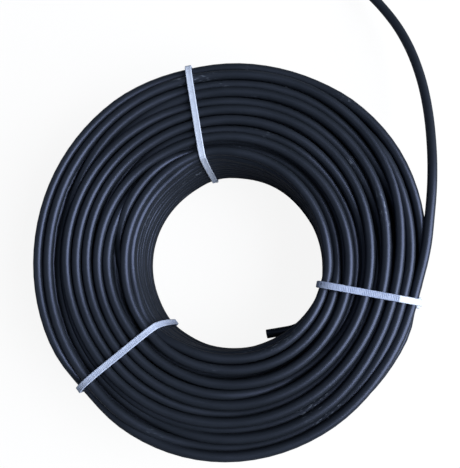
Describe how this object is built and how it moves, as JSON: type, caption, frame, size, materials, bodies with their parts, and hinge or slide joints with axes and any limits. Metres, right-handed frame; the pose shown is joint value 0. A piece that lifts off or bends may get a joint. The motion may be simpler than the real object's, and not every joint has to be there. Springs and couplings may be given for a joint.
{
  "type": "coiled irrigation hose",
  "caption": "Round coil of thin black irrigation hose tied with pale cable ties, with its inner end in the coil's eye and its outer end lying free",
  "frame": {"origin": "on the floor plane under the coil, on the coil's axis", "axes": "+Z is the coil's axis, up; +Y is the way that the free outer end runs, the long side of the part; +X is the side on which the outer end leaves the coil"},
  "size_m": [0.2702, 0.3758, 0.065],
  "materials": {
    "hose": "smooth satin polyethylene",
    "tie": "natural nylon, slightly translucent"
  },
  "bodies": {
    "root": {"hose_core": "hose", "hose_coil": "hose", "hose_outer_run": "hose", "hose_outer_tip": "hose", "hose_inner_tip": "hose", "tie_back": "tie", "tie_left": "tie", "tie_right": "tie"}
  },
  "joints": []
}
